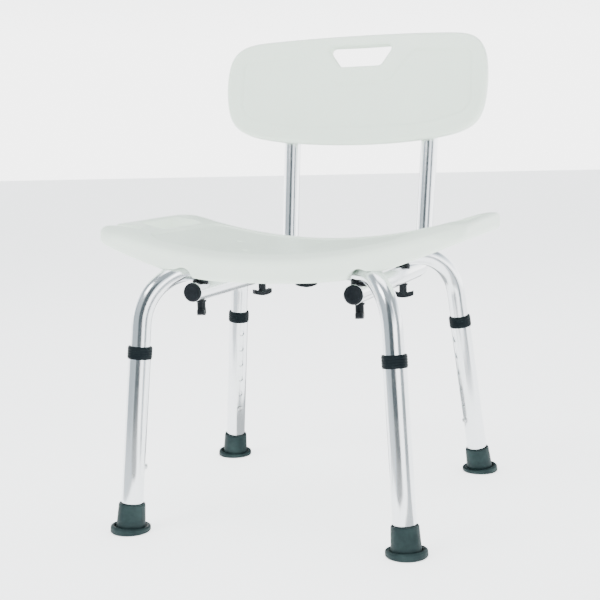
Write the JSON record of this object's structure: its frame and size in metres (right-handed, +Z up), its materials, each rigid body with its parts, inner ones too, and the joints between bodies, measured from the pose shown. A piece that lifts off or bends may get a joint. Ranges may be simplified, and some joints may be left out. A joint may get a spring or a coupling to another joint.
{
  "type": "shower chair",
  "caption": "Shower chair with a curved moulded seat and bowed backrest on crossed aluminium tubes, with telescoping push-button legs and flared rubber feet.",
  "frame": {"origin": "on the floor, under the middle of the whole outline seen from above, with the legs at their lowest setting", "axes": "+Z up; the sitter faces -Y, so the backrest is towards +Y; +X is to the right of someone who stands in front of the chair and looks at it"},
  "size_m": [0.494, 0.5343, 0.6663],
  "materials": {
    "white_plastic": "blow-moulded polyethylene with a fine even grain and softly rounded edges",
    "aluminium": "satin anodised drawn tube",
    "black_plastic": "moulded nylon, satin",
    "collar_plastic": "moulded, satin, dark grey",
    "rubber": "dark grey-green moulded rubber, slightly dusty",
    "steel": "zinc plated",
    "brass": "turned"
  },
  "bodies": {
    "frame": {"cross_tube_a": "aluminium", "cross_tube_b": "aluminium", "back_tube_left": "aluminium", "back_tube_right": "aluminium", "tube_plug_left": "black_plastic", "tube_plug_right": "black_plastic", "saddle_front_left": "black_plastic", "saddle_front_right": "black_plastic", "saddle_rear_left": "black_plastic", "saddle_rear_right": "black_plastic", "seat_panel": "white_plastic", "seat_insert_front_left": "brass", "seat_insert_front_right": "brass", "seat_insert_rear_left": "brass", "seat_insert_rear_right": "brass", "seat_insert_centre": "brass", "backrest_panel": "white_plastic", "back_screw_left": "steel", "back_screw_right": "steel"},
    "leg_front_left": {"leg_tube_front_left": "aluminium", "collar_front_left": "collar_plastic", "foot_front_left": "rubber", "foot_washer_front_left": "steel"},
    "button_front_left": {"snap_button_front_left": "steel"},
    "leg_front_right": {"leg_tube_front_right": "aluminium", "collar_front_right": "collar_plastic", "foot_front_right": "rubber", "foot_washer_front_right": "steel"},
    "button_front_right": {"snap_button_front_right": "steel"},
    "leg_rear_left": {"leg_tube_rear_left": "aluminium", "collar_rear_left": "collar_plastic", "foot_rear_left": "rubber", "foot_washer_rear_left": "steel"},
    "button_rear_left": {"snap_button_rear_left": "steel"},
    "leg_rear_right": {"leg_tube_rear_right": "aluminium", "collar_rear_right": "collar_plastic", "foot_rear_right": "rubber", "foot_washer_rear_right": "steel"},
    "button_rear_right": {"snap_button_rear_right": "steel"},
    "knob_front_left": {"knob_front_left": "black_plastic", "knob_stud_front_left": "steel"},
    "knob_front_right": {"knob_front_right": "black_plastic", "knob_stud_front_right": "steel"},
    "knob_rear_left": {"knob_rear_left": "black_plastic", "knob_stud_rear_left": "steel"},
    "knob_rear_right": {"knob_rear_right": "black_plastic", "knob_stud_rear_right": "steel"},
    "knob_centre": {"knob_centre": "black_plastic", "knob_stud_centre": "steel"}
  },
  "joints": [
    {"name": "leg_front_left_slide", "type": "slide", "parent": "frame", "child": "leg_front_left", "axis": [-0.0665, -0.069, -0.9954], "range_m": [0, 0.125], "deforming": ["snap_button_front_left"]},
    {"name": "button_front_left_press", "type": "slide", "parent": "frame", "child": "button_front_left", "axis": [-0.6911, -0.7163, 0.0958], "range_m": [0, 0.005], "stiffness_N_per_m": 800, "deforming": ["snap_button_front_left"]},
    {"name": "leg_front_right_slide", "type": "slide", "parent": "frame", "child": "leg_front_right", "axis": [0.0665, -0.069, -0.9954], "range_m": [0, 0.125], "deforming": ["snap_button_front_right"]},
    {"name": "button_front_right_press", "type": "slide", "parent": "frame", "child": "button_front_right", "axis": [0.6911, -0.7163, 0.0958], "range_m": [0, 0.005], "stiffness_N_per_m": 800, "deforming": ["snap_button_front_right"]},
    {"name": "leg_rear_left_slide", "type": "slide", "parent": "frame", "child": "leg_rear_left", "axis": [-0.1026, 0.1064, -0.989], "range_m": [0, 0.125], "deforming": ["snap_button_rear_left"]},
    {"name": "button_rear_left_press", "type": "slide", "parent": "frame", "child": "button_rear_left", "axis": [-0.6867, 0.7117, 0.1478], "range_m": [0, 0.005], "stiffness_N_per_m": 800, "deforming": ["snap_button_rear_left"]},
    {"name": "leg_rear_right_slide", "type": "slide", "parent": "frame", "child": "leg_rear_right", "axis": [0.1026, 0.1064, -0.989], "range_m": [0, 0.125], "deforming": ["snap_button_rear_right"]},
    {"name": "button_rear_right_press", "type": "slide", "parent": "frame", "child": "button_rear_right", "axis": [0.6867, 0.7117, 0.1478], "range_m": [0, 0.005], "stiffness_N_per_m": 800, "deforming": ["snap_button_rear_right"]},
    {"name": "knob_front_left_turn", "type": "hinge", "parent": "frame", "child": "knob_front_left", "pos_m": [-0.108, -0.16243, 0.294], "axis": [0, 0, 1], "continuous": true},
    {"name": "knob_front_right_turn", "type": "hinge", "parent": "frame", "child": "knob_front_right", "pos_m": [0.108, -0.16243, 0.294], "axis": [0, 0, 1], "continuous": true},
    {"name": "knob_rear_left_turn", "type": "hinge", "parent": "frame", "child": "knob_rear_left", "pos_m": [-0.108, 0.06145, 0.294], "axis": [0, 0, 1], "continuous": true},
    {"name": "knob_rear_right_turn", "type": "hinge", "parent": "frame", "child": "knob_rear_right", "pos_m": [0.108, 0.06145, 0.294], "axis": [0, 0, 1], "continuous": true},
    {"name": "knob_centre_turn", "type": "hinge", "parent": "frame", "child": "knob_centre", "pos_m": [0, -0.05049, 0.32], "axis": [0, 0, 1], "continuous": true}
  ]
}
